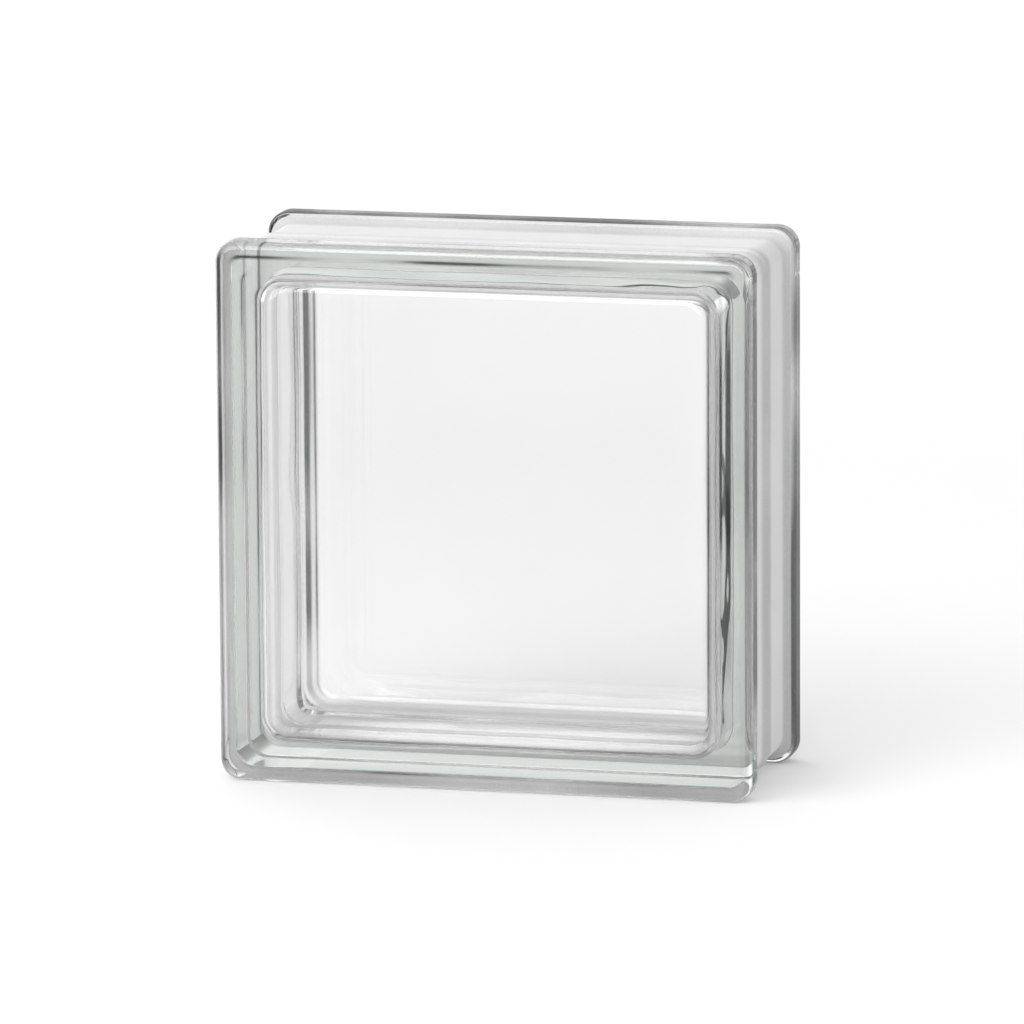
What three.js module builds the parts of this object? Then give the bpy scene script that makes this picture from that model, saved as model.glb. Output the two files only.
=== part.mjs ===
// Hollow glass block for masonry: two pressed half-shells of clear glass, fused face to face
// round a sealed air space. Millimetres, +Z up. X runs across the block, Y through it, and the
// block stands on its rims with the fused seam in the plane y = 0.
import * as THREE from 'three';
import { mergeVertices } from 'three/addons/utils/BufferGeometryUtils.js';

// Outside of the block
const blockWidth = 190;
const blockHeight = 190;
const blockDepth = 80;

// Glass sections
const faceThickness = 8; // pane on each side of the air space
const wallThickness = 8.6; // side wall, from the groove floor to the air space, at the seam

// Rim: the full-size flange that frames each face
const rimLength = 8.5; // how far the full-size flange reaches back from the face
const rimCornerRadius = 7.5;
const faceEdgeRadius = 3; // rounding between a face and the rim

// Mortar groove round all four sides, between the two rims
const grooveDepth = 3.8;
const grooveCornerRadius = 7;
const flankRun = 5.5; // length of the curved flank that climbs from the groove floor to the rim
const flankSoftness = 0.6; // 0 is a straight slope, 1 a fully rounded step

// Weld bead where the two halves are fused, raised from the groove floor
const weldBeadHeight = 0.9;
const weldBeadHalfWidth = 4;

// Air space
const cavityDraft = 0.3; // how much the wall thickens from the seam to the fillet
const filletLength = 6; // the fillet between wall and pane, measured along the depth
const filletReach = 5.3; // and across the pane, from its upper and lower edges
const sideFilletReach = 7.7; // the same from its left and right edges, where the glass is fuller
const cavityCornerRadius = 9.5;
const windowCornerRadius = 4.5; // corner of the flat inner pane, inside the fillet
const innerBeadHeight = 0.9; // squeezed-in glass along the seam, inside
const innerBeadHalfWidth = 1.6;

// Fineness of the curves
const cornerSegments = 8; // steps in each rounded corner
const profileSegments = 6; // steps in each curve of the wall's section

const halfDepth = blockDepth / 2;

// A section curve is drawn in (distance from the seam plane, inset from the rim's outline).
// Its rounded corners run from one plan radius to another as the inset changes.
function sectionRings(path, cornerRadiusAt, sideInsetAt = (inset) => inset) {
  return path.getPoints(profileSegments).map(({ x: distance, y: inset }) => ({
    distance,
    inset,
    sideInset: sideInsetAt(inset),
    cornerRadius: cornerRadiusAt(distance, inset),
  }));
}

function step(path, fromInset, toDistance, toInset, softness) {
  const start = path.currentPoint.x;
  const reach = (toDistance - start) * softness;
  path.bezierCurveTo(start + reach, fromInset, toDistance - reach, toInset, toDistance, toInset);
}

// Outside of one half: weld bead, groove floor, flank, rim and the rounded edge of the face.
function outerRings() {
  const rimStart = halfDepth - rimLength;
  const flankFoot = rimStart - flankRun;
  const beadInset = grooveDepth - weldBeadHeight;
  const path = new THREE.Path();
  path.moveTo(0, beadInset);
  step(path, beadInset, weldBeadHalfWidth, grooveDepth, flankSoftness);
  path.lineTo(flankFoot, grooveDepth);
  step(path, grooveDepth, rimStart, 0, flankSoftness);
  path.lineTo(halfDepth - faceEdgeRadius, 0);
  path.absarc(halfDepth - faceEdgeRadius, faceEdgeRadius, faceEdgeRadius, -Math.PI / 2, 0, false);

  return sectionRings(path, (distance, inset) => {
    if (distance >= rimStart) return rimCornerRadius - inset;
    if (distance <= weldBeadHalfWidth) return grooveCornerRadius + grooveDepth - inset;
    return THREE.MathUtils.mapLinear(inset, grooveDepth, 0, grooveCornerRadius, rimCornerRadius);
  });
}

// Inside of one half: bead along the seam, drafted side wall, fillet and the edge of the pane.
function innerRings() {
  const seamInset = grooveDepth + wallThickness;
  const paneDistance = halfDepth - faceThickness;
  const filletStart = paneDistance - filletLength;
  const filletInset = seamInset + cavityDraft;
  const path = new THREE.Path();
  path.moveTo(0, seamInset + innerBeadHeight);
  step(path, seamInset + innerBeadHeight, innerBeadHalfWidth, seamInset, flankSoftness);
  path.lineTo(filletStart, filletInset);
  path.absellipse(
    filletStart, filletInset + filletReach, filletLength, filletReach, -Math.PI / 2, 0, false, 0,
  );

  const cornerRadiusAt = (distance, inset) => {
    if (distance <= filletStart) return cavityCornerRadius;
    return THREE.MathUtils.mapLinear(
      inset, filletInset, filletInset + filletReach, cavityCornerRadius, windowCornerRadius,
    );
  };
  const sideInsetAt = (inset) => {
    if (inset <= filletInset) return inset;
    return filletInset + (inset - filletInset) * sideFilletReach / filletReach;
  };
  return sectionRings(path, cornerRadiusAt, sideInsetAt);
}

// Points of a rounded rectangle, counter-clockwise seen with +X to the right and +Z up.
function ringPoints({ distance, inset, sideInset, cornerRadius }) {
  const reachX = blockWidth / 2 - sideInset - cornerRadius;
  const reachZ = blockHeight / 2 - inset - cornerRadius;
  const corners = [[1, 1], [-1, 1], [-1, -1], [1, -1]];
  return corners.flatMap(([sideX, sideZ], quarter) =>
    Array.from({ length: cornerSegments + 1 }, (_, k) => {
      const angle = (quarter + k / cornerSegments) * Math.PI / 2;
      return new THREE.Vector3(
        sideX * reachX + cornerRadius * Math.cos(angle),
        -distance,
        blockHeight / 2 + sideZ * reachZ + cornerRadius * Math.sin(angle),
      );
    }));
}

// Closed skin through a loop of rings: every neighbour pair is joined by a band, except at a
// pane, where both rings are closed with a flat fan.
function lofted(rings, paneAfter) {
  const positions = rings.flatMap(ringPoints).flatMap((point) => point.toArray());
  const ringSize = 4 * (cornerSegments + 1);
  const triangles = [];

  const band = (from, to) => {
    for (let k = 0; k < ringSize; k += 1) {
      const next = (k + 1) % ringSize;
      const [a, b] = [from * ringSize + k, from * ringSize + next];
      const [c, d] = [to * ringSize + next, to * ringSize + k];
      triangles.push(a, b, c, a, c, d);
    }
  };
  const pane = (ring, facesOut) => {
    const centre = positions.length / 3;
    positions.push(0, -rings[ring].distance, blockHeight / 2);
    for (let k = 0; k < ringSize; k += 1) {
      const edge = [ring * ringSize + k, ring * ringSize + (k + 1) % ringSize];
      if (!facesOut) edge.reverse();
      triangles.push(edge[0], edge[1], centre);
    }
  };

  rings.forEach((_, index) => {
    if (index === paneAfter) {
      pane(index, true);
      pane(index + 1, false);
    } else {
      band(index, (index + 1) % rings.length);
    }
  });

  const geometry = new THREE.BufferGeometry();
  geometry.setAttribute('position', new THREE.Float32BufferAttribute(positions, 3));
  geometry.setIndex(triangles);
  const merged = mergeVertices(geometry);
  merged.computeVertexNormals();
  return merged;
}

// One pressed half, open at the seam plane, its face towards -Y.
function halfShellGeometry() {
  const outer = outerRings();
  const inner = innerRings().reverse();
  return lofted([...outer, ...inner], outer.length - 1);
}

const clearGlass = new THREE.MeshStandardMaterial({
  name: 'clear_glass',
  color: 0xdfe9e4,
  roughness: 0.04,
  metalness: 0,
  transparent: true,
  opacity: 0.35,
});

function halfShell(name, turn) {
  const mesh = new THREE.Mesh(halfShellGeometry(), clearGlass);
  mesh.name = name;
  mesh.rotation.z = turn;
  return mesh;
}

const block = new THREE.Group();
block.add(halfShell('front_shell', 0), halfShell('back_shell', Math.PI));

export default block;
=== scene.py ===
"""Hollow glass block.

One continuous skin of clear pressed glass, with a satin edge coat in its mortar groove.
"""

import math
from dataclasses import dataclass, fields, replace

import bmesh
import bpy
from mathutils import Matrix, Vector


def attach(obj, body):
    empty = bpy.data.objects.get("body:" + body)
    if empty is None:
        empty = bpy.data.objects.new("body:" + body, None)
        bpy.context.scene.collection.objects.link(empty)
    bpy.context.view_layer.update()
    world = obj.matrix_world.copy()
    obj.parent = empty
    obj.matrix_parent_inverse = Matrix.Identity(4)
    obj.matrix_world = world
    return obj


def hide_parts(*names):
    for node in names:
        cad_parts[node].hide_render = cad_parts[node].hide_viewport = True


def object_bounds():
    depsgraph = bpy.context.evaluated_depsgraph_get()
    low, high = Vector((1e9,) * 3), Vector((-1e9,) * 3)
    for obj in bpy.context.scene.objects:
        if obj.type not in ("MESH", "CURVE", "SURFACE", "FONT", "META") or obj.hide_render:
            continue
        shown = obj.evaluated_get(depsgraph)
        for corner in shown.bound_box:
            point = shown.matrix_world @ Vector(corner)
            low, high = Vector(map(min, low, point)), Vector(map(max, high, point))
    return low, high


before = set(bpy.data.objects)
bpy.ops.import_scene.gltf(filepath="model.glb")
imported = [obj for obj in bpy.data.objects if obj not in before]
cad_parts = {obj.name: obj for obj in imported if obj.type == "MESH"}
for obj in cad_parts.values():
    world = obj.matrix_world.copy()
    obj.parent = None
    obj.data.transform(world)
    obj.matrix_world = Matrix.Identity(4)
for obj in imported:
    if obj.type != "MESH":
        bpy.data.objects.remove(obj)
cad_low, cad_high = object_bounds()

MM = 0.001

# The block's outer size comes from the frame; the rest of its section is listed here, in metres.
BLOCK_SIZE = cad_high - cad_low
HALF_DEPTH = BLOCK_SIZE.y / 2
PANE_THICKNESS = 8 * MM
WALL_THICKNESS = 8.6 * MM
RIM_LENGTH = 8.5 * MM
RIM_CORNER_RADIUS = 7.5 * MM
FACE_EDGE_RADIUS = 3 * MM
GROOVE_DEPTH = 3.8 * MM
GROOVE_CORNER_RADIUS = 7 * MM
FLANK_RUN = 5.5 * MM
FLANK_SOFTNESS = 0.6
WELD_BEAD_HEIGHT = 0.9 * MM
WELD_BEAD_HALF_WIDTH = 4 * MM
CAVITY_DRAFT = 0.3 * MM
FILLET_LENGTH = 6 * MM
FILLET_REACH = 5.3 * MM
SIDE_FILLET_REACH = 7.7 * MM
CAVITY_CORNER_RADIUS = 9.5 * MM
WINDOW_CORNER_RADIUS = 4.5 * MM
INNER_BEAD_HEIGHT = 0.9 * MM
INNER_BEAD_HALF_WIDTH = 1.6 * MM

# Uneven flow of the pressed glass on the walls of the air space, stronger at the corners
WAVE_HEIGHT = 0.8 * MM
WAVE_LENGTH = 38 * MM
WAVE_CORNER_GAIN = 2.6
WAVE_SEED = 7

# Edge coat: it stops short of the rim and floats a hair off the glass
COAT_CLEARANCE = 2.4 * MM
COAT_LIFT = 0.03 * MM

# Painted shade: how strongly the glass is darkened, from 0 to 1, on the top, bottom, right and
# left sides. It stands in for the dark edges, lines and reflections of thick glass under this
# light, so it differs between the halves and the sides
FRONT_PAINTED_SHADE = {
    "edge": (0.05, 0.05, 0.55, 0.95),
    "face": (0.05, 0.05, 0.20, 0.30),
    "rim": (0.30, 0.20, 0.90, 0.25),
    "flank": (0.20, 0.20, 0.40, 0.40),
    "flank_top": (0.90, 0.85, 0.85, 0.85),
    "fillet": (0.30, 0.30, 0.30, 0.40),
}
BACK_PAINTED_SHADE = {
    "edge": (0.95, 0.30, 0.95, 0.60),
    "face": (0.05, 0.05, 0.20, 0.20),
    "rim": (0.85, 0.30, 0.95, 0.25),
    "flank": (0.20, 0.20, 0.85, 0.60),
    "flank_top": (0.95, 0.90, 0.97, 0.90),
    "fillet": (0.45, 0.20, 0.90, 0.92),
}
PANE_PAINTED_SHADE = 0.02
PAINTED_SHADE_MOST = 0.97

# Where the zones of painted shade lie: the top of the flank starts at this depth from the seam
# plane, and it and the rim fade in and out over these lengths; the line round the edge fades in,
# stays and fades out at these distances from the block's outline, and the soft band on the face
# ends at this one
FLANK_TOP_START = 29.9 * MM
FLANK_FADE = 0.4 * MM
RIM_FADE = 1.5 * MM
EDGE_LINE = (0.8 * MM, 1.1 * MM, 2.3 * MM, 2.8 * MM)
FACE_SHADE_REACH = 8 * MM

# Slow drift of the painted shade along the sides: its strength, how much of it the even zones
# show, the length over which it changes, and its seed
SHADE_DRIFT = 2.6
EVEN_DRIFT = 0.4
SHADE_DRIFT_LENGTH = 65 * MM
SHADE_DRIFT_SEED = 572

# Painted dark lines in the front face, standing in for the dark refraction lines where one looks
# along the wall: each fades in, stays and fades out at these distances from the block's outline,
# with its share of the drift and its strength on the top, bottom, right and left sides
FACE_LINES = (
    (4.3 * MM, 5.0 * MM, 5.6 * MM, 6.4 * MM, 1.0, (0.90, 0.45, 0.00, 0.00)),
    (6.8 * MM, 7.4 * MM, 8.8 * MM, 9.4 * MM, 1.6, (0.00, 0.00, 0.52, 0.00)),
    (9.9 * MM, 10.4 * MM, 11.2 * MM, 11.7 * MM, 1.6, (0.00, 0.00, 0.52, 0.00)),
    (9.4 * MM, 9.8 * MM, 10.2 * MM, 10.6 * MM, 1.0, (0.00, 0.00, 0.00, 1.30)),
    (14.4 * MM, 14.9 * MM, 15.3 * MM, 15.8 * MM, 0.3, (0.25, 0.30, 0.80, 1.20)),
)

# Painted dark lines along the fillet, standing in for its refraction lines: each fades in, stays
# and fades out at these distances from its foot
FILLET_LINES = (
    (2.4 * MM, 3.2 * MM, 4.5 * MM, 4.9 * MM),
    (5.0 * MM, 5.2 * MM, 5.5 * MM, 5.7 * MM),
)

# Painted shade on the coat, from 0 where it is light to 1 where it is dark: over the weld bead, on
# the top and bottom and on the two sides, and up the flank, where the rim shades it; each changes
# between two depths from the seam
COAT_BEAD_PAINTED_SHADE = 0.2
COAT_BEAD_SIDE_PAINTED_SHADE = 0.5
COAT_BEAD_REACH = (5 * MM, 9 * MM)
COAT_FLANK_PAINTED_SHADE = 0.6
COAT_FLANK_REACH = (25 * MM, 27.6 * MM)
COAT_DRIFT = 0.1

# Fineness of the skins
CORNER_STEPS = 16
SIDE_STEPS = 36
CURVE_STEPS = 14
STRAIGHT_STEP = 3 * MM
RIM_STEP = 1.2 * MM
FACE_STEP = 0.5 * MM
FACE_FINE_WIDTH = 16 * MM
PANE_RINGS = 12
PANE_RING_POWER = 0.8  # below 1, the rings lie closest together at the edge of the pane

# Points closer than this become one: where the sweep closes, and in the middle of the panes
MERGE_REACH = 1e-6


# ---------------------------------------------------------------- section of the glass

@dataclass
class Station:
    """One place on the section: the rounded rectangle round the block that passes through it."""
    depth: float  # from the seam plane, along Y
    inset: float  # in from the block's outline, on the top and bottom sides
    side_inset: float = None  # the same on the left and right sides, if it differs
    corner: float = 0.0  # plan radius of the four corners
    coat: float = 0.0  # 1 where the edge coat lies on the glass
    top_shade: float = 0.0  # how much painted shade darkens the glass, on each of the four sides
    bottom_shade: float = 0.0
    right_shade: float = 0.0
    left_shade: float = 0.0
    wave: float = 0.0  # how much of the wave of the pressed glass shows
    drift: float = EVEN_DRIFT  # how much of the slow drift of the painted shade shows

    def __post_init__(self):
        if self.side_inset is None:
            self.side_inset = self.inset


def straight(start, end, step=STRAIGHT_STEP):
    """Points on a straight stretch of the section, each (depth, inset), without its first one."""
    count = max(2, math.ceil(math.dist(start, end) / step))
    return [
        tuple(a + (b - a) * k / count for a, b in zip(start, end)) for k in range(1, count + 1)
    ]


def s_curve(start, end, softness=FLANK_SOFTNESS):
    """A soft step between two levels, level at both ends, without its first point."""
    reach = (end[0] - start[0]) * softness
    handles = [start, (start[0] + reach, start[1]), (end[0] - reach, end[1]), end]
    points = []
    for k in range(1, CURVE_STEPS + 1):
        t = k / CURVE_STEPS
        weights = ((1 - t) ** 3, 3 * t * (1 - t) ** 2, 3 * t * t * (1 - t), t ** 3)
        points.append(tuple(sum(w * h[axis] for w, h in zip(weights, handles)) for axis in (0, 1)))
    return points


def quarter_turn(start, length, reach):
    """A quarter of an ellipse that leaves start along the depth and ends square to it."""
    turns = [k / CURVE_STEPS * math.pi / 2 for k in range(1, CURVE_STEPS + 1)]
    return [(start[0] + length * math.sin(t), start[1] + reach * (1 - math.cos(t))) for t in turns]


def blend(value, low, high, at_low, at_high):
    """Goes evenly from at_low to at_high while value goes from low to high, and no further."""
    share = min(1.0, max(0.0, (value - low) / (high - low)))
    return at_low + (at_high - at_low) * share


def plateau(value, start, full, leave, end):
    """Rises from 0 at start to 1 at full, stays there, and falls from leave to 0 at end."""
    return min(blend(value, start, full, 0, 1), blend(value, leave, end, 1, 0))


def outer_half(shading, face_lines=()):
    """Stations of the outside of one half, from the weld bead to the middle of the face."""
    rim_start = HALF_DEPTH - RIM_LENGTH
    flank_foot = rim_start - FLANK_RUN
    edge_start = HALF_DEPTH - FACE_EDGE_RADIUS
    coat_edge = rim_start - COAT_CLEARANCE
    bead_inset = GROOVE_DEPTH - WELD_BEAD_HEIGHT
    path = [(0.0, bead_inset)]
    path += s_curve(path[-1], (WELD_BEAD_HALF_WIDTH, GROOVE_DEPTH))
    path += straight(path[-1], (flank_foot, GROOVE_DEPTH))
    path += s_curve(path[-1], (rim_start, 0.0))
    path += straight(path[-1], (edge_start, 0.0), RIM_STEP)
    path += quarter_turn(path[-1], FACE_EDGE_RADIUS, FACE_EDGE_RADIUS)
    path += straight(path[-1], (HALF_DEPTH, FACE_FINE_WIDTH), FACE_STEP)

    stations = []
    for depth, inset in path:
        on_face = depth == HALF_DEPTH
        if depth >= rim_start:
            corner = max(RIM_CORNER_RADIUS - inset, RIM_CORNER_RADIUS - FACE_EDGE_RADIUS)
        elif depth <= WELD_BEAD_HALF_WIDTH:
            corner = GROOVE_CORNER_RADIUS + GROOVE_DEPTH - inset
        else:
            corner = blend(inset, 0.0, GROOVE_DEPTH, RIM_CORNER_RADIUS, GROOVE_CORNER_RADIUS)
        bare = plateau(depth, coat_edge - FLANK_FADE, coat_edge, rim_start, rim_start + FLANK_FADE)
        top = blend(depth, FLANK_TOP_START - FLANK_FADE, FLANK_TOP_START, 0, 1)
        rim = plateau(depth, rim_start, rim_start + FLANK_FADE, edge_start, edge_start + RIM_FADE)
        # share of each zone of painted shade at this station
        share = {
            "edge": plateau(inset, *EDGE_LINE) if depth > edge_start else 0,
            "face": blend(inset, FACE_EDGE_RADIUS, FACE_SHADE_REACH, 1, 0) if on_face else 0,
            "rim": rim,
            "flank": bare,
            "flank_top": bare * top,
        }
        shades = [max(shading[zone][side] * share[zone] for zone in share) for side in range(4)]
        drift = EVEN_DRIFT
        for *marks, line_drift, strengths in face_lines:
            line = plateau(inset, *marks)
            if on_face and line > 0:
                shades = [
                    max(shade, line * strength) for shade, strength in zip(shades, strengths)
                ]
                drift = max(drift, line_drift)
        coat = float(depth < coat_edge)
        stations.append(Station(depth, inset, None, corner, coat, *shades, 0.0, drift))
    return stations + pane_stations(stations[-1])


def inner_half(shading):
    """Stations of the air space in one half, from the seam to the middle of the pane."""
    seam_inset = GROOVE_DEPTH + WALL_THICKNESS
    fillet_inset = seam_inset + CAVITY_DRAFT
    fillet_end = HALF_DEPTH - PANE_THICKNESS
    fillet_start = fillet_end - FILLET_LENGTH
    path = [(0.0, seam_inset + INNER_BEAD_HEIGHT)]
    path += s_curve(path[-1], (INNER_BEAD_HALF_WIDTH, seam_inset))
    path += straight(path[-1], (fillet_start, fillet_inset))
    path += quarter_turn(path[-1], FILLET_LENGTH, FILLET_REACH)

    stations = []
    for depth, inset in path:
        across = 0
        if depth > fillet_start:
            across = blend(inset, fillet_inset, fillet_inset + FILLET_REACH, 0, 1)
        corner = CAVITY_CORNER_RADIUS + (WINDOW_CORNER_RADIUS - CAVITY_CORNER_RADIUS) * across
        side_inset = inset + (SIDE_FILLET_REACH - FILLET_REACH) * across
        # painted dark lines along the fillet
        line = max(plateau(depth - fillet_start, *marks) for marks in FILLET_LINES)
        wave = blend(depth, fillet_start, fillet_end, 1, 0)
        shades = [strength * line for strength in shading["fillet"]]
        stations.append(Station(depth, inset, side_inset, corner, 0.0, *shades, wave))
    return stations + pane_stations(stations[-1])


def pane_stations(edge):
    """Stations that close a flat pane, from its edge in to its middle."""
    middle = min(BLOCK_SIZE.x, BLOCK_SIZE.z) / 2
    stations = []
    for k in range(1, PANE_RINGS + 1):
        share = 1 - (1 - k / PANE_RINGS) ** PANE_RING_POWER
        inset = edge.inset + (middle - edge.inset) * share
        side_inset = edge.side_inset + (middle - edge.side_inset) * share
        corner = edge.corner * (1 - share)
        stations.append(Station(edge.depth, inset, side_inset, corner, 0.0, *[PANE_PAINTED_SHADE] * 4))
    return stations


def joined_halves(front, back):
    """One run of stations, from the middle of the front pane to the middle of the back one."""
    return [replace(station, depth=-station.depth) for station in reversed(front[1:])] + back


def lifted(stations, height):
    """The same stations moved off the glass along the normal of their section."""
    moved = []
    for k, station in enumerate(stations):
        before = stations[max(0, k - 1)]
        after = stations[min(len(stations) - 1, k + 1)]
        run, rise = after.depth - before.depth, after.inset - before.inset
        length = math.hypot(run, rise)
        out = height * run / length
        depth = station.depth + height * rise / length
        moved.append(replace(
            station, depth=depth, inset=station.inset - out, side_inset=station.side_inset - out,
            corner=station.corner + out,
        ))
    return moved


# ---------------------------------------------------------------- sweep round the block

STATION_VALUES = tuple(value.name for value in fields(Station))
NOISE_DETAIL = 1.0


class Field:
    """A number that runs through a node tree, so that a rule can be written as a formula."""

    def __init__(self, tree, socket):
        self.tree = tree
        self.socket = socket

    def maths(self, operation, *others):
        node = self.tree.nodes.new("ShaderNodeMath")
        node.operation = operation
        for place, value in enumerate((self, *others)):
            source = getattr(value, "socket", value)
            if isinstance(source, (int, float)):
                node.inputs[place].default_value = source
            else:
                self.tree.links.new(source, node.inputs[place])
        return Field(self.tree, node.outputs[0])

    def __add__(self, other):
        return self.maths("ADD", other)

    def __sub__(self, other):
        return self.maths("SUBTRACT", other)

    def __mul__(self, other):
        return self.maths("MULTIPLY", other)

    def __truediv__(self, other):
        return self.maths("DIVIDE", other)


def sweep_round_block():
    """Tree that sweeps a section round the block: a string of points with station values."""
    tree = bpy.data.node_groups.new("sweep_round_block", "GeometryNodeTree")
    tree.is_modifier = True
    wanted = [
        ("Section", "NodeSocketGeometry", None),
        ("Width", "NodeSocketFloat", BLOCK_SIZE.x),
        ("Height", "NodeSocketFloat", BLOCK_SIZE.z),
        ("Corner Steps", "NodeSocketInt", CORNER_STEPS),
        ("Side Steps", "NodeSocketInt", SIDE_STEPS),
        ("Facing In", "NodeSocketBool", False),
        ("Wave Height", "NodeSocketFloat", WAVE_HEIGHT),
        ("Wave Length", "NodeSocketFloat", WAVE_LENGTH),
        ("Wave Seed", "NodeSocketFloat", WAVE_SEED),
        ("Corner Gain", "NodeSocketFloat", WAVE_CORNER_GAIN),
        ("Drift", "NodeSocketFloat", SHADE_DRIFT),
        ("Drift Length", "NodeSocketFloat", SHADE_DRIFT_LENGTH),
        ("Drift Seed", "NodeSocketFloat", SHADE_DRIFT_SEED),
        ("Material", "NodeSocketMaterial", None),
    ]
    for name, kind, value in wanted:
        socket = tree.interface.new_socket(name, in_out="INPUT", socket_type=kind)
        if value is not None:
            socket.default_value = value
    tree.interface.new_socket("Skin", in_out="OUTPUT", socket_type="NodeSocketGeometry")
    given = tree.nodes.new("NodeGroupInput").outputs
    result = tree.nodes.new("NodeGroupOutput").inputs["Skin"]

    def add(kind, links=(), **settings):
        """A node with its settings, each input set to a number or name or linked to its source."""
        node = tree.nodes.new(kind)
        for setting, value in settings.items():
            setattr(node, setting, value)
        for place, source in dict(links).items():
            if isinstance(source, (int, float, str)):
                node.inputs[place].default_value = source
            else:
                tree.links.new(getattr(source, "socket", source), node.inputs[place])
        return node

    def field(socket):
        return Field(tree, socket)

    def between(first, second, share):
        return first + (second - first) * share

    corner_steps, side_steps = field(given["Corner Steps"]), field(given["Side Steps"])
    quarter_steps = corner_steps + side_steps
    ring_size = quarter_steps * 4
    section = add("GeometryNodeAttributeDomainSize", {"Geometry": given["Section"]})
    rows = section.outputs["Point Count"]
    grid = add("GeometryNodeMeshGrid", {"Vertices X": rows, "Vertices Y": ring_size + 1})

    # Each row of the grid is one station; along it, the points run round the four quarters.
    index = field(add("GeometryNodeInputIndex").outputs[0])
    row = (index / (ring_size + 1)).maths("FLOOR")
    column = index - row * (ring_size + 1)
    quarter = (column / quarter_steps).maths("FLOOR")
    place = column - quarter * quarter_steps
    turn = (quarter + place.maths("MINIMUM", corner_steps) / corner_steps) * (math.pi / 2)
    along = (place - corner_steps).maths("MAXIMUM", 0.0) / side_steps

    station = {}
    for name in STATION_VALUES:
        value = add("GeometryNodeInputNamedAttribute", {"Name": name}, data_type="FLOAT")
        links = {"Geometry": given["Section"], "Value": value.outputs["Attribute"], "Index": row}
        sample = add("GeometryNodeSampleIndex", links, data_type="FLOAT", domain="POINT")
        station[name] = field(sample.outputs["Value"])

    def round_the_block(operation, size, inset):
        """One coordinate of a point: its corner's centre, moving on to the next, plus the turn."""
        middles = [(quarter + ahead) * (math.pi / 2) for ahead in (0.5, 1.5)]
        side, next_side = [middle.maths(operation).maths("SIGN") for middle in middles]
        reach = field(size) / 2 - inset - station["corner"]
        centre = between(side, next_side, along) * reach
        return centre + turn.maths(operation) * station["corner"]

    x = round_the_block("COSINE", given["Width"], station["side_inset"])
    z = round_the_block("SINE", given["Height"], station["inset"]) + field(given["Height"]) / 2
    point = add("ShaderNodeCombineXYZ", {"X": x, "Y": station["depth"], "Z": z})
    links = {"Geometry": grid.outputs["Mesh"], "Position": point.outputs[0]}
    skin = add("GeometryNodeSetPosition", links).outputs["Geometry"]

    def uneven(length, seed):
        """Slow noise of the given wavelength in space, from -1 to 1."""
        position = add("GeometryNodeInputPosition").outputs[0]
        scale = field(given[length]).maths("POWER", -1.0)
        links = {"Vector": position, "W": given[seed], "Scale": scale, "Detail": NOISE_DETAIL}
        noise = add("ShaderNodeTexNoise", links, noise_dimensions="4D")
        return (field(noise.outputs[0]) - 0.5) * 2

    # Round a corner, the painted shade goes over from that of one side to that of the next,
    # and it drifts.
    across, up = turn.maths("COSINE"), turn.maths("SINE")
    leftward, downward = across * -0.5 + 0.5, up * -0.5 + 0.5
    side_shade = between(station["right_shade"], station["left_shade"], leftward)
    level_shade = between(station["top_shade"], station["bottom_shade"], downward)
    even_shade = between(level_shade, side_shade, across.maths("POWER", 2.0))
    drift = uneven("Drift Length", "Drift Seed") * given["Drift"] * station["drift"] + 1.0
    shade = (even_shade * drift).maths("MAXIMUM", 0.0).maths("MINIMUM", PAINTED_SHADE_MOST)
    cornered = (turn * 2).maths("SINE").maths("ABSOLUTE") * given["Corner Gain"] + 1.0
    wave = station["wave"] * cornered
    kept = (("coat", station["coat"], "FACE"), ("shade", shade, "POINT"), ("wave", wave, "POINT"))
    for name, value, domain in kept:
        links = {"Geometry": skin, "Name": name, "Value": value}
        node = add("GeometryNodeStoreNamedAttribute", links, data_type="FLOAT", domain=domain)
        skin = node.outputs["Geometry"]
    merged = add("GeometryNodeMergeByDistance", {"Geometry": skin, "Distance": MERGE_REACH})
    links = {"Mesh": merged.outputs["Geometry"], "Selection": given["Facing In"]}
    turned_in = add("GeometryNodeFlipFaces", links)

    # The pressed glass is never quite even: a slow wave moves the skin along its normal.
    stored_wave = add("GeometryNodeInputNamedAttribute", {"Name": "wave"}, data_type="FLOAT")
    full_height = uneven("Wave Length", "Wave Seed") * given["Wave Height"]
    height = full_height * stored_wave.outputs["Attribute"]
    normal = add("GeometryNodeInputNormal").outputs[0]
    offset = add("ShaderNodeVectorMath", {0: normal, "Scale": height}, operation="SCALE")
    links = {"Geometry": turned_in.outputs["Mesh"], "Offset": offset.outputs[0]}
    moved = add("GeometryNodeSetPosition", links)
    smooth = add("GeometryNodeSetShadeSmooth", {"Geometry": moved.outputs["Geometry"]})
    real = add("GeometryNodeRealizeInstances", {"Geometry": smooth.outputs["Geometry"]})
    links = {"Geometry": real.outputs["Geometry"], "Material": given["Material"]}
    finished = add("GeometryNodeSetMaterial", links)
    tree.links.new(finished.outputs["Geometry"], result)
    return tree


def swept(name, stations, material, facing_in=False, wave_height=0.0):
    """Mesh of one skin, made by the sweep and left without its modifier."""
    section = bpy.data.meshes.new(name)
    links = [(k, k + 1) for k in range(len(stations) - 1)]
    section.from_pydata([(0, station.depth, station.inset) for station in stations], links, [])
    for value in STATION_VALUES:
        values = [getattr(station, value) for station in stations]
        section.attributes.new(value, "FLOAT", "POINT").data.foreach_set("value", values)
    piece = bpy.data.objects.new(name, section)
    bpy.context.collection.objects.link(piece)
    modifier = piece.modifiers.new("sweep", "NODES")
    modifier.node_group = SWEEP
    sockets = {item.name: item.identifier for item in SWEEP.interface.items_tree}
    modifier[sockets["Facing In"]] = facing_in
    modifier[sockets["Wave Height"]] = wave_height
    modifier[sockets["Material"]] = material
    evaluated = piece.evaluated_get(bpy.context.evaluated_depsgraph_get())
    mesh = bpy.data.meshes.new_from_object(evaluated)
    bpy.data.objects.remove(piece)
    return mesh


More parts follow.
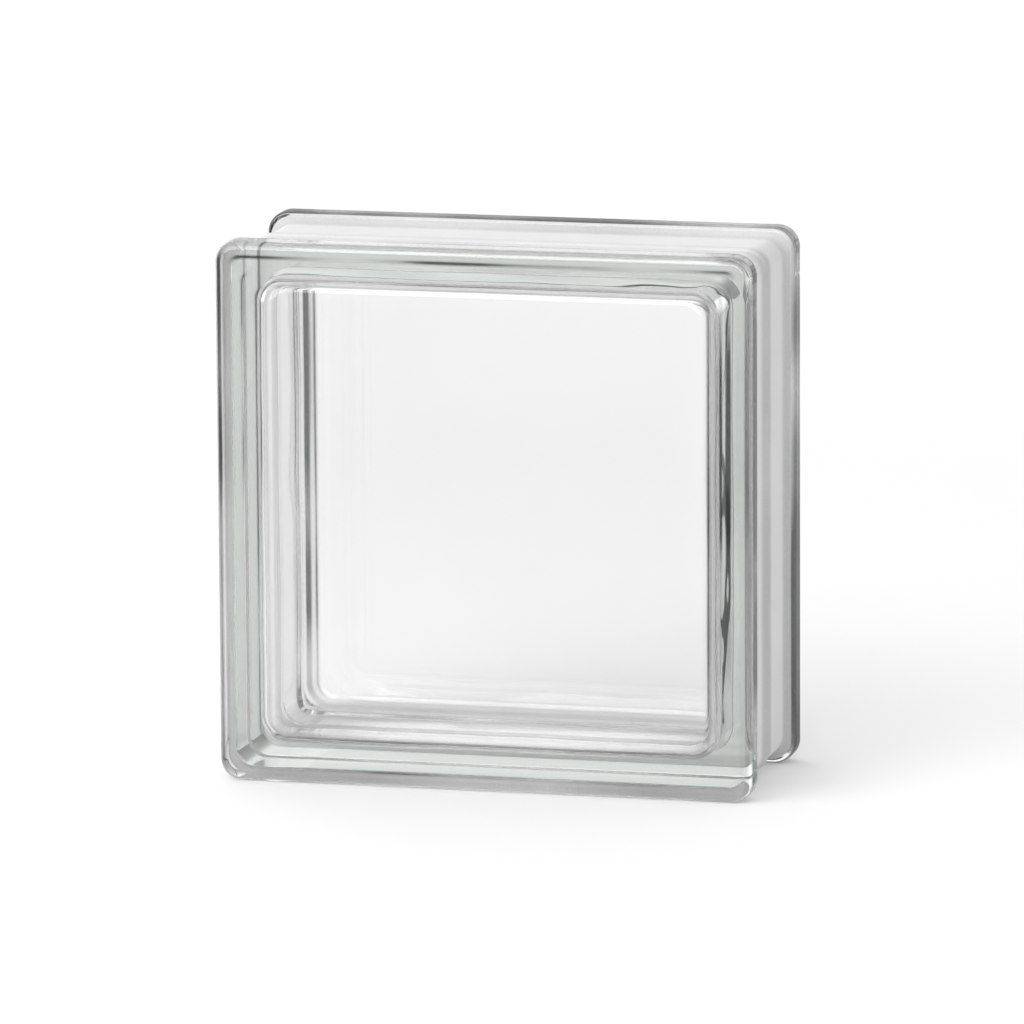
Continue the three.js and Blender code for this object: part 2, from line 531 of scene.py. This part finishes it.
def finished_piece(name, skins, material):
    """One object at the origin that holds the given skins."""
    joined = bmesh.new()
    for skin in skins:
        joined.from_mesh(skin)
    mesh = bpy.data.meshes.new(name)
    joined.to_mesh(mesh)
    joined.free()
    mesh.polygons.foreach_set("material_index", [0] * len(mesh.polygons))
    mesh.materials.append(material)
    piece = bpy.data.objects.new(name, mesh)
    bpy.context.collection.objects.link(piece)
    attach(piece, "root")
    return piece


def glass_block():
    """The block's glass: its outside and its air space as one piece."""
    glass = pressed_glass()
    outer = joined_halves(outer_half(FRONT_PAINTED_SHADE, FACE_LINES), outer_half(BACK_PAINTED_SHADE))
    inner = joined_halves(inner_half(FRONT_PAINTED_SHADE), inner_half(BACK_PAINTED_SHADE))
    outside = swept("outside", outer, glass)
    air_space = swept("air_space", inner, glass, facing_in=True, wave_height=WAVE_HEIGHT)
    piece = finished_piece("glass_block", [outside, air_space], glass)
    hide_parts("front_shell", "back_shell")


def groove_coat():
    """The film on the groove and the weld bead, which stops short of both rims."""
    coat = satin_coat()
    coated = []
    for station in outer_half(BACK_PAINTED_SHADE):
        if station.coat > 0:
            # painted shade over the weld bead and up the flank, kept in the shade values
            bead = blend(station.depth, *COAT_BEAD_REACH, COAT_BEAD_PAINTED_SHADE, 0)
            side_bead = blend(station.depth, *COAT_BEAD_REACH, COAT_BEAD_SIDE_PAINTED_SHADE, 0)
            flank = blend(station.depth, *COAT_FLANK_REACH, 0, COAT_FLANK_PAINTED_SHADE)
            coated.append(replace(
                station, top_shade=bead + flank, bottom_shade=bead + flank,
                right_shade=side_bead + flank, left_shade=side_bead + flank, drift=COAT_DRIFT,
            ))
    film = lifted(joined_halves(coated, coated), COAT_LIFT)
    finished_piece("edge_coat", [swept("coat", film, coat)], coat)


# ---------------------------------------------------------------- materials

GLASS_IOR = 1.52
COAT_CONTACT_IOR = 1.06
GLASS_TINT = (0.37, 0.42, 0.38, 1)
GLASS_TINT_DENSITY = 10.0
# Colour that painted shade darkens the glass towards
PAINTED_SHADE_TINT = (0.03, 0.036, 0.031, 1)

# Painted dark reflection: where the painted shade is strongest, a dark matt surface is mixed into
# the glass, so that it mirrors less, as it would with dark surroundings
PAINTED_DARK_FROM = 0.6
PAINTED_DARK_MOST = 0.5
PAINTED_DARK_TONE = (0.01, 0.012, 0.011, 1)

# Edge coat: its lightest tone, the darkest tone that its painted shade and grain go towards, the
# share of the light that comes through it, and its grain and patches, each with scale and strength
COAT_LIGHT = (0.97, 0.96, 0.97, 1)
COAT_DARK = (0.42, 0.41, 0.42, 1)
COAT_THROUGH = 0.45
COAT_ROUGHNESS = 0.5
COAT_GRAINS = ((1500.0, 0.25), (40.0, 0.20))
COAT_GRAIN_DETAIL = 2.0


def new_material(name):
    material = bpy.data.materials.new(name)
    material.use_nodes = True
    material.node_tree.nodes.clear()
    return material, material.node_tree


def stored(tree, name):
    """What the mesh stores under this name."""
    node = tree.nodes.new("ShaderNodeAttribute")
    node.attribute_name = name
    return node.outputs["Fac"]


def ramp(tree, source, low, high, at_low, at_high, course="SMOOTHSTEP"):
    """A change from one value to another while the source goes from low to high."""
    node = tree.nodes.new("ShaderNodeMapRange")
    node.interpolation_type = course
    values = {"From Min": low, "From Max": high, "To Min": at_low, "To Max": at_high}
    for socket, value in values.items():
        node.inputs[socket].default_value = value
    tree.links.new(source, node.inputs["Value"])
    return Field(tree, node.outputs["Result"])


def pressed_glass():
    """Clear glass, faintly green and darkened by painted shade; it barely refracts under the coat.
    """
    material, tree = new_material("pressed_glass")
    output = tree.nodes.new("ShaderNodeOutputMaterial")
    glass = tree.nodes.new("ShaderNodeBsdfPrincipled")
    glass.inputs["Transmission Weight"].default_value = 1
    glass.inputs["Roughness"].default_value = 0.0
    contact = ramp(tree, stored(tree, "coat"), 0, 1, GLASS_IOR, COAT_CONTACT_IOR, "LINEAR")
    tree.links.new(contact.socket, glass.inputs["IOR"])
    # painted shade from the mesh: it darkens the glass towards the shade tint
    shade = stored(tree, "shade")
    tint = tree.nodes.new("ShaderNodeMix")
    tint.data_type = "RGBA"
    tint.inputs["A"].default_value = (1, 1, 1, 1)
    tint.inputs["B"].default_value = PAINTED_SHADE_TINT
    tree.links.new(shade, tint.inputs["Factor"])
    tree.links.new(tint.outputs["Result"], glass.inputs["Base Color"])
    # painted dark reflection: a dark matt surface mixed in where the painted shade is strongest
    painted_dark_share = ramp(tree, shade, PAINTED_DARK_FROM, PAINTED_SHADE_MOST, 0, PAINTED_DARK_MOST, "LINEAR")
    dark_matt = tree.nodes.new("ShaderNodeBsdfDiffuse")
    dark_matt.inputs["Color"].default_value = PAINTED_DARK_TONE
    surface = tree.nodes.new("ShaderNodeMixShader")
    tree.links.new(painted_dark_share.socket, surface.inputs[0])
    tree.links.new(glass.outputs[0], surface.inputs[1])
    tree.links.new(dark_matt.outputs[0], surface.inputs[2])
    tree.links.new(surface.outputs[0], output.inputs["Surface"])
    absorption = tree.nodes.new("ShaderNodeVolumeAbsorption")
    absorption.inputs["Color"].default_value = GLASS_TINT
    absorption.inputs["Density"].default_value = GLASS_TINT_DENSITY
    tree.links.new(absorption.outputs[0], output.inputs["Volume"])
    return material


def satin_coat():
    """Satin paint: painted shade along the section, with a fine grain and slow patches over it."""
    material, tree = new_material("satin_coat")
    output = tree.nodes.new("ShaderNodeOutputMaterial")
    place = tree.nodes.new("ShaderNodeTexCoord")
    # the tone starts from the coat's painted shade; grain and patches are added to it
    tone = Field(tree, stored(tree, "shade"))
    for scale, strength in COAT_GRAINS:
        grain = tree.nodes.new("ShaderNodeTexNoise")
        grain.inputs["Scale"].default_value = scale
        grain.inputs["Detail"].default_value = COAT_GRAIN_DETAIL
        tree.links.new(place.outputs["Object"], grain.inputs["Vector"])
        tone = tone + (Field(tree, grain.outputs[0]) - 0.5) * strength
    colour = tree.nodes.new("ShaderNodeMix")
    colour.data_type = "RGBA"
    colour.inputs["A"].default_value = COAT_LIGHT
    colour.inputs["B"].default_value = COAT_DARK
    tree.links.new(tone.socket, colour.inputs["Factor"])
    paint = tree.nodes.new("ShaderNodeBsdfPrincipled")
    paint.inputs["Roughness"].default_value = COAT_ROUGHNESS
    paint.inputs["Specular IOR Level"].default_value = 0.0
    through = tree.nodes.new("ShaderNodeBsdfTranslucent")
    mix = tree.nodes.new("ShaderNodeMixShader")
    mix.inputs[0].default_value = COAT_THROUGH
    tree.links.new(colour.outputs["Result"], paint.inputs["Base Color"])
    tree.links.new(colour.outputs["Result"], through.inputs["Color"])
    tree.links.new(paint.outputs[0], mix.inputs[1])
    tree.links.new(through.outputs[0], mix.inputs[2])
    tree.links.new(mix.outputs[0], output.inputs["Surface"])
    return material


SWEEP = sweep_round_block()
glass_block()
groove_coat()


# ---------------------------------------------------------------- studio

# Floor: a pale table, a hair below the block. Its paper is a little lighter further out, and it
# glows round the block, most of all under it: painted light that lifts the block's shadow and
# lights its underside; each change lies between two distances in metres.
FLOOR_HALF_WIDTH = 12.0
FLOOR_LEVEL = -0.05 * MM
FLOOR_REACH = (0.1, 0.9)
FLOOR_TONES = (0.68, 0.735)
FLOOR_GLOW = 0.16
FLOOR_GLOW_REACH = (0.1, 0.7)
UNDER_GLOW = 0.7
UNDER_GLOW_REACH = (0.018, 0.038)


def distance(tree, vector):
    """How far the vector reaches."""
    node = tree.nodes.new("ShaderNodeVectorMath")
    node.operation = "LENGTH"
    tree.links.new(vector, node.inputs[0])
    return node.outputs["Value"]


def floor():
    """The table top, with its painted glow fading away from the block's foot."""
    mesh = bpy.data.meshes.new("studio_floor")
    r, z = FLOOR_HALF_WIDTH, FLOOR_LEVEL
    mesh.from_pydata([(-r, -r, z), (r, -r, z), (r, r, z), (-r, r, z)], [], [(0, 1, 2, 3)])
    piece = bpy.data.objects.new("studio_floor", mesh)
    bpy.context.collection.objects.link(piece)
    material, tree = new_material("pale_floor")
    output = tree.nodes.new("ShaderNodeOutputMaterial")
    place = tree.nodes.new("ShaderNodeTexCoord").outputs["Object"]
    reach = distance(tree, place)
    paper = tree.nodes.new("ShaderNodeBsdfDiffuse")
    glow = tree.nodes.new("ShaderNodeEmission")
    under = tree.nodes.new("ShaderNodeVectorMath")
    under.operation = "MULTIPLY"
    under.inputs[1].default_value = (BLOCK_SIZE.y / BLOCK_SIZE.x, 1, 1)
    tree.links.new(place, under.inputs[0])
    tone = ramp(tree, reach, *FLOOR_REACH, *FLOOR_TONES)
    tree.links.new(tone.socket, paper.inputs["Color"])
    # painted light: a glow round the block and a stronger one right under it lift its shadow
    wide = ramp(tree, reach, *FLOOR_GLOW_REACH, FLOOR_GLOW, 0)
    near = ramp(tree, distance(tree, under.outputs[0]), *UNDER_GLOW_REACH, UNDER_GLOW, 0)
    tree.links.new((wide + near).socket, glow.inputs["Strength"])
    both = tree.nodes.new("ShaderNodeAddShader")
    tree.links.new(paper.outputs[0], both.inputs[0])
    tree.links.new(glow.outputs[0], both.inputs[1])
    tree.links.new(both.outputs[0], output.inputs["Surface"])
    material.cycles.emission_sampling = "NONE"
    mesh.materials.append(material)


# Studio light, as a soft dome round the block: each source has its direction (azimuth from the
# front towards the right, elevation), the cosines between which it fades in, and its strength. The
# dark side takes that share of the light away, and ends at this height on the dome.
SURROUND_LIGHT = 0.96
SOFTBOX = ((333.7, 0.0), (0.50, 0.99), 4.8)
BACK_LIGHT = ((208.0, 25.0), (0.82, 0.96), 1.14)
DARK_SIDE = ((126.6, 0.0), (-0.09, 0.51), 0.60)
DARK_SIDE_HEIGHT = 0.745


def bearing(azimuth, elevation):
    """Direction from the block, azimuth from the front towards the right, both in degrees."""
    a, e = math.radians(azimuth), math.radians(elevation)
    return (math.sin(a) * math.cos(e), -math.cos(a) * math.cos(e), math.sin(e))


def studio_world():
    """A white dome with a softbox, a back light and a darker side."""
    world = bpy.data.worlds.new("studio")
    bpy.context.scene.world = world
    world.use_nodes = True
    tree = world.node_tree
    tree.nodes.clear()
    output = tree.nodes.new("ShaderNodeOutputWorld")
    background = tree.nodes.new("ShaderNodeBackground")
    background.inputs["Color"].default_value = (1, 1, 1, 1)
    direction = tree.nodes.new("ShaderNodeTexCoord").outputs["Generated"]

    def source(place, cosines, strength):
        """Strength of one source in each direction."""
        facing = tree.nodes.new("ShaderNodeVectorMath")
        facing.operation = "DOT_PRODUCT"
        facing.inputs[1].default_value = bearing(*place)
        tree.links.new(direction, facing.inputs[0])
        return ramp(tree, facing.outputs["Value"], *cosines, 0.0, strength)

    split = tree.nodes.new("ShaderNodeSeparateXYZ")
    tree.links.new(direction, split.inputs[0])
    low_down = ramp(tree, split.outputs["Z"], 0.0, DARK_SIDE_HEIGHT, 1.0, 0.0)
    lights = source(*SOFTBOX) + source(*BACK_LIGHT) + SURROUND_LIGHT
    total = lights - lights * source(*DARK_SIDE) * low_down
    tree.links.new(total.socket, background.inputs["Strength"])
    tree.links.new(background.outputs[0], output.inputs["Surface"])


# View: the point looked at, the direction in which the camera stands, its roll, its distance, how
# far it sees, and its lens and sensor in millimetres
VIEW_TARGET = Vector((0.57, 0.0, 91.46)) * MM
VIEW_BEARING = (14.157, 10.442)
VIEW_ROLL = math.radians(-0.33)
VIEW_DISTANCE = 3281.5 * MM
VIEW_REACH = 100
LENS = 331.41796875
SENSOR_WIDTH = 36

# How often light is followed through the glass, off its surface and off matt surfaces
GLASS_BOUNCES = 40
MIRROR_BOUNCES = 24
MATT_BOUNCES = 8


def camera():
    """The main view: a long lens, to the right of the block and a little above it."""
    back = Vector(bearing(*VIEW_BEARING))
    data = bpy.data.cameras.new("camera")
    data.lens = LENS
    data.sensor_width = SENSOR_WIDTH
    data.clip_end = VIEW_REACH
    piece = bpy.data.objects.new("camera", data)
    bpy.context.collection.objects.link(piece)
    turn = (-back).to_track_quat("-Z", "Y").to_matrix() @ Matrix.Rotation(VIEW_ROLL, 3, "Z")
    piece.matrix_world = Matrix.Translation(VIEW_TARGET + back * VIEW_DISTANCE) @ turn.to_4x4()
    bpy.context.scene.camera = piece


floor()
studio_world()
camera()
scene = bpy.context.scene
scene.view_settings.view_transform = "Standard"
scene.cycles.max_bounces = GLASS_BOUNCES
scene.cycles.transmission_bounces = GLASS_BOUNCES
scene.cycles.glossy_bounces = MIRROR_BOUNCES
scene.cycles.diffuse_bounces = MATT_BOUNCES
scene.cycles.use_denoising = True
